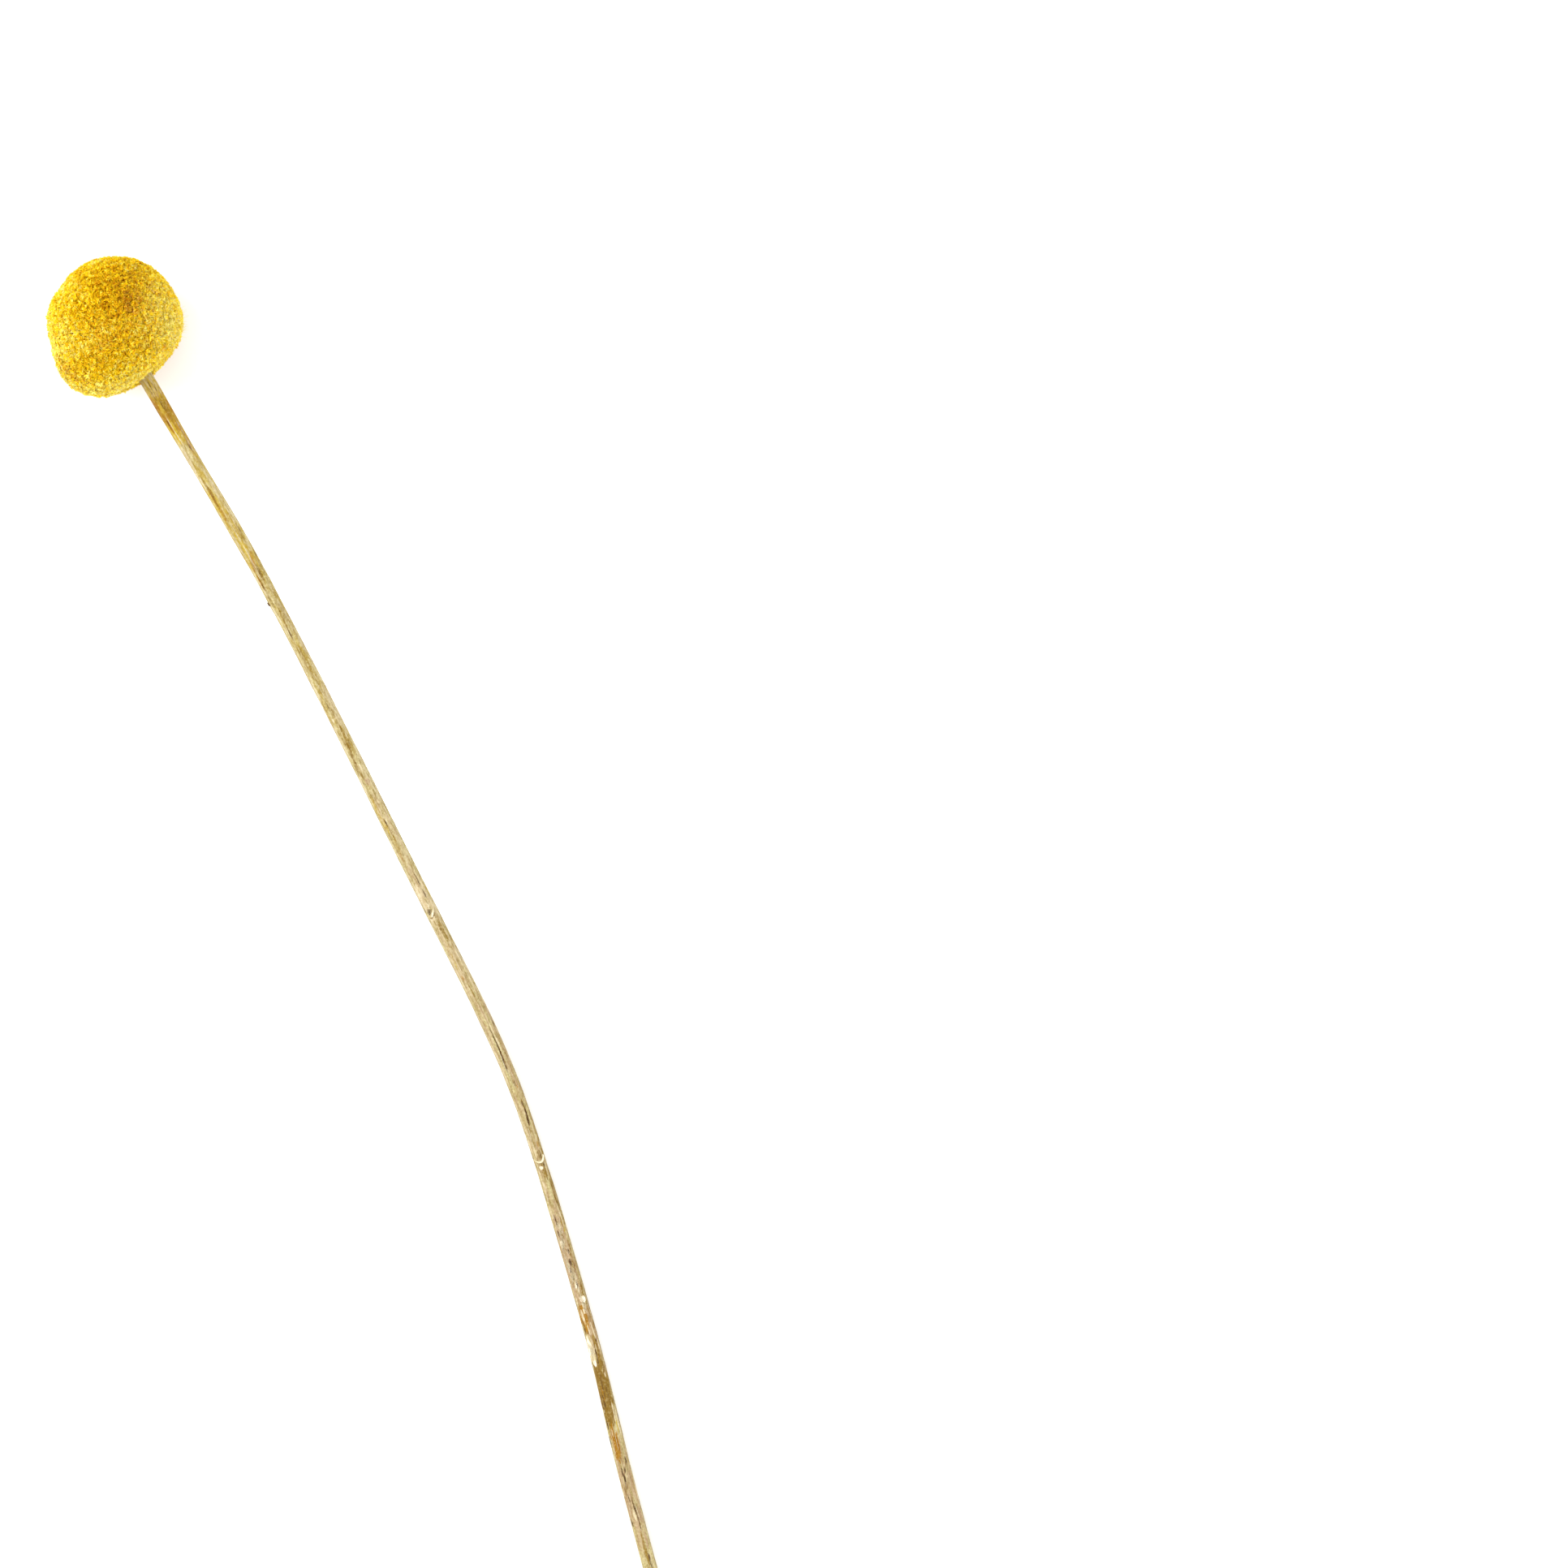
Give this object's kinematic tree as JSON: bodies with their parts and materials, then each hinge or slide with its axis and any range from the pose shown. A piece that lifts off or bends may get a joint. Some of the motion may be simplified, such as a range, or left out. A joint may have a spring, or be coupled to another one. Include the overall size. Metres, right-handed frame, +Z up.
{
  "type": "dried billy button stem",
  "caption": "Dried billy button, lying down: a ball of yellow floret tufts on a long thin ribbed stem with a gentle bend.",
  "frame": {"origin": "bottom centre of the bounding box, on the surface that the flower lies on", "axes": "+X along the stem from the flower head to the cut end; +Z up from the surface; +Y is the side that the stem bows to"},
  "size_m": [0.4516, 0.0386, 0.0276],
  "materials": {
    "flower_head": "dry, matt golden florets with paler bristles",
    "stem": "dry straw, ribbed, satin, with brown and olive streaks"
  },
  "bodies": {
    "root": {"flower_head": "flower_head", "stem": "stem"}
  },
  "joints": []
}
